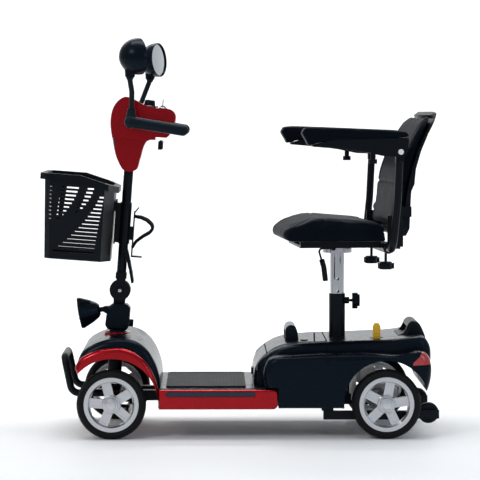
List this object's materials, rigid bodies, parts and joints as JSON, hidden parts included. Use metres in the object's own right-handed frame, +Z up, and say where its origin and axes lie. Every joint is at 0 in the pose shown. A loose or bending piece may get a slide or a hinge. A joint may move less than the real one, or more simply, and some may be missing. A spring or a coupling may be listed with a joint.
{
  "type": "mobility scooter",
  "caption": "Compact four-wheel mobility scooter with tilting tiller, front basket, headlamp, mirrors, flat deck, lift-out battery box and swivel seat with flip-up armrests.",
  "frame": {"origin": "on the ground, below the middle of the scooter's length and width", "axes": "+X to the rear of the scooter, +Y to the rider's right, +Z up"},
  "size_m": [1.1543, 0.656, 1.1529],
  "materials": {
    "frame_steel": "satin",
    "bright_steel": "gloss",
    "zinc_steel": "satin",
    "red_paint": "gloss",
    "body_black": "satin",
    "trim_black": "matte",
    "deck_mat": "matte",
    "tyre_rubber": "matte",
    "rim_silver": "satin",
    "grip_rubber": "matte",
    "reflector_red": "gloss",
    "lens_clear": "gloss",
    "upholstery": "satin",
    "lever_yellow": "satin",
    "button_green": "satin",
    "button_red": "satin",
    "cell_case": "matte"
  },
  "bodies": {
    "chassis": {"main_frame": "frame_steel", "floor_pan": "body_black", "floor_mat": "deck_mat", "side_skirts": "red_paint", "front_shroud": "red_paint", "front_panel": "body_black", "front_bumper": "frame_steel", "rear_cover": "body_black", "rear_reflectors": "reflector_red", "rear_guard": "trim_black", "drive_unit": "zinc_steel", "anti_tip_arms": "frame_steel"},
    "battery_box": {"battery_case": "body_black", "battery_cells": "cell_case"},
    "steering": {"steering_stem": "frame_steel", "tiller_housing": "body_black"},
    "headlamp": {"headlamp_shell": "body_black", "headlamp_lens": "lens_clear"},
    "knuckle_left": {"knuckle_left": "frame_steel"},
    "knuckle_right": {"knuckle_right": "frame_steel"},
    "tie_rod": {"tie_rod": "zinc_steel"},
    "front_wheel_left": {"front_rim_left": "rim_silver", "front_tyre_left": "tyre_rubber"},
    "front_wheel_right": {"front_rim_right": "rim_silver", "front_tyre_right": "tyre_rubber"},
    "rear_wheel_left": {"rear_rim_left": "rim_silver", "rear_tyre_left": "tyre_rubber"},
    "rear_wheel_right": {"rear_rim_right": "rim_silver", "rear_tyre_right": "tyre_rubber"},
    "anti_tip_wheel_left": {"anti_tip_wheel_left": "trim_black"},
    "anti_tip_wheel_right": {"anti_tip_wheel_right": "trim_black"},
    "freewheel_lever": {"freewheel_lever": "lever_yellow"},
    "tiller": {"tiller_tube": "frame_steel", "bottle_cage": "trim_black", "head_shell": "red_paint", "handlebar": "frame_steel", "hand_grips": "grip_rubber"},
    "tilt_lever": {"tilt_lever": "trim_black"},
    "basket": {"basket": "trim_black"},
    "speed_dial": {"speed_dial": "trim_black"},
    "key": {"key": "zinc_steel"},
    "horn_button": {"horn_button": "button_green"},
    "power_button": {"power_button": "button_red"},
    "throttle_lever": {"throttle_lever": "trim_black"},
    "mirror_left": {"mirror_left": "body_black"},
    "mirror_right": {"mirror_right": "body_black"},
    "seat_post": {"seat_post_upper": "bright_steel"},
    "post_knob": {"post_knob": "trim_black"},
    "seat": {"seat_frame": "frame_steel", "width_knobs": "trim_black", "seat_cushion": "upholstery"},
    "swivel_lever": {"swivel_lever": "trim_black"},
    "backrest": {"back_shell": "trim_black", "back_cushion": "upholstery"},
    "arm_post_left": {"arm_post_left": "frame_steel"},
    "arm_post_right": {"arm_post_right": "frame_steel"},
    "armrest_left": {"arm_base_left": "trim_black", "arm_pad_left": "upholstery"},
    "armrest_right": {"arm_base_right": "trim_black", "arm_pad_right": "upholstery"}
  },
  "joints": [
    {"name": "tiller_steer", "type": "hinge", "parent": "chassis", "child": "steering", "pos_m": [-0.3535, 0, 0.414], "axis": [0.0732, 0, 0.9973], "range_deg": [-35, 35]},
    {"name": "knuckle_left_steer", "type": "hinge", "parent": "chassis", "child": "knuckle_left", "pos_m": [-0.3713, -0.168, 0.1], "axis": [0.0732, 0, 0.9973], "range_deg": [-35, 35]},
    {"name": "knuckle_right_steer", "type": "hinge", "parent": "chassis", "child": "knuckle_right", "pos_m": [-0.3713, 0.168, 0.1], "axis": [0.0732, 0, 0.9973], "range_deg": [-35, 35]},
    {"name": "tie_rod_pivot", "type": "hinge", "parent": "knuckle_left", "child": "tie_rod", "pos_m": [-0.32972, -0.168, 0.05183], "axis": [0.0732, 0, 0.9973], "range_deg": [-35, 35]},
    {"name": "front_wheel_left_spin", "type": "hinge", "parent": "knuckle_left", "child": "front_wheel_left", "pos_m": [-0.3713, -0.2235, 0.1], "axis": [0, 1, 0], "continuous": true},
    {"name": "front_wheel_right_spin", "type": "hinge", "parent": "knuckle_right", "child": "front_wheel_right", "pos_m": [-0.3713, 0.2235, 0.1], "axis": [0, 1, 0], "continuous": true},
    {"name": "rear_wheel_left_spin", "type": "hinge", "parent": "chassis", "child": "rear_wheel_left", "pos_m": [0.4213, -0.2235, 0.1], "axis": [0, 1, 0], "continuous": true},
    {"name": "rear_wheel_right_spin", "type": "hinge", "parent": "chassis", "child": "rear_wheel_right", "pos_m": [0.4213, 0.2235, 0.1], "axis": [0, 1, 0], "continuous": true},
    {"name": "anti_tip_left_spin", "type": "hinge", "parent": "chassis", "child": "anti_tip_wheel_left", "pos_m": [0.5467, -0.178, 0.069], "axis": [0, 1, 0], "continuous": true},
    {"name": "anti_tip_right_spin", "type": "hinge", "parent": "chassis", "child": "anti_tip_wheel_right", "pos_m": [0.5467, 0.178, 0.069], "axis": [0, 1, 0], "continuous": true},
    {"name": "battery_lift", "type": "slide", "parent": "chassis", "child": "battery_box", "axis": [0, 0, 1], "range_m": [0, 0.12]},
    {"name": "freewheel_swing", "type": "hinge", "parent": "chassis", "child": "freewheel_lever", "pos_m": [0.4017, -0.1, 0.262], "axis": [0, 1, 0], "range_deg": [0, 20]},
    {"name": "headlamp_tilt", "type": "hinge", "parent": "steering", "child": "headlamp", "pos_m": [-0.39978, 0, 0.35724], "axis": [0, 1, 0], "range_deg": [-12, 12]},
    {"name": "tiller_tilt", "type": "hinge", "parent": "steering", "child": "tiller", "pos_m": [-0.3535, 0, 0.414], "axis": [0, 1, 0], "range_deg": [0, 15]},
    {"name": "tilt_release", "type": "hinge", "parent": "tiller", "child": "tilt_lever", "pos_m": [-0.33887, 0, 0.53124], "axis": [0, 1, 0], "range_deg": [-18, 0], "stiffness_Nm_per_rad": 0.4},
    {"name": "basket_lift", "type": "slide", "parent": "tiller", "child": "basket", "axis": [0.0732, 0, 0.9973], "range_m": [0, 0.03]},
    {"name": "speed_dial_turn", "type": "hinge", "parent": "tiller", "child": "speed_dial", "pos_m": [-0.26557, 0, 0.95602], "axis": [0.0732, 0, 0.9973], "range_deg": [-130, 130]},
    {"name": "key_turn", "type": "hinge", "parent": "tiller", "child": "key", "pos_m": [-0.22575, -0.052, 0.95209], "axis": [0.0732, 0, 0.9973], "range_deg": [0, 75]},
    {"name": "horn_press", "type": "slide", "parent": "tiller", "child": "horn_button", "axis": [0.0732, 0, 0.9973], "range_m": [-0.003, 0], "stiffness_N_per_m": 300},
    {"name": "power_press", "type": "slide", "parent": "tiller", "child": "power_button", "axis": [0.0732, 0, 0.9973], "range_m": [-0.003, 0], "stiffness_N_per_m": 300},
    {"name": "throttle_pull", "type": "hinge", "parent": "tiller", "child": "throttle_lever", "pos_m": [-0.23207, 0, 0.85228], "axis": [0, 1, 0], "range_deg": [-14, 14], "stiffness_Nm_per_rad": 0.5},
    {"name": "mirror_left_aim", "type": "hinge", "parent": "tiller", "child": "mirror_left", "pos_m": [-0.31364, -0.284, 1.03876], "axis": [0.0732, 0, 0.9973], "range_deg": [-20, 20]},
    {"name": "mirror_right_aim", "type": "hinge", "parent": "tiller", "child": "mirror_right", "pos_m": [-0.27131, 0.284, 1.04167], "axis": [0.0732, 0, 0.9973], "range_deg": [-20, 20]},
    {"name": "seat_height", "type": "slide", "parent": "chassis", "child": "seat_post", "axis": [0, 0, 1], "range_m": [-0.075, 0.05]},
    {"name": "post_knob_turn", "type": "hinge", "parent": "chassis", "child": "post_knob", "pos_m": [0.3356, 0, 0.382], "axis": [1, 0, 0], "continuous": true},
    {"name": "seat_swivel", "type": "hinge", "parent": "seat_post", "child": "seat", "pos_m": [0.2906, 0, 0.54], "axis": [0, 0, 1], "range_deg": [-90, 90]},
    {"name": "swivel_release", "type": "hinge", "parent": "seat", "child": "swivel_lever", "pos_m": [0.27066, -0.00157, 0.54], "axis": [-0.0785, 0.9969, 0], "range_deg": [-15, 0], "stiffness_Nm_per_rad": 0.8},
    {"name": "backrest_fold", "type": "hinge", "parent": "seat", "child": "backrest", "pos_m": [0.44512, 0.01216, 0.653], "axis": [-0.0785, 0.9969, 0], "range_deg": [-75, 0]},
    {"name": "arm_width_left", "type": "slide", "parent": "seat", "child": "arm_post_left", "axis": [0.0785, -0.9969, 0], "range_m": [0, 0.05]},
    {"name": "arm_width_right", "type": "slide", "parent": "seat", "child": "arm_post_right", "axis": [-0.0785, 0.9969, 0], "range_m": [0, 0.05]},
    {"name": "arm_flip_left", "type": "hinge", "parent": "arm_post_left", "child": "armrest_left", "pos_m": [0.45434, -0.25795, 0.827], "axis": [-0.0785, 0.9969, 0], "range_deg": [0, 85]},
    {"name": "arm_flip_right", "type": "hinge", "parent": "arm_post_right", "child": "armrest_right", "pos_m": [0.41198, 0.28039, 0.827], "axis": [-0.0785, 0.9969, 0], "range_deg": [0, 85]}
  ],
  "couplings": [
    {"joint": "knuckle_left_steer", "follows": "tiller_steer", "ratio": 1},
    {"joint": "knuckle_right_steer", "follows": "tiller_steer", "ratio": 1},
    {"joint": "tie_rod_pivot", "follows": "tiller_steer", "ratio": -1}
  ]
}
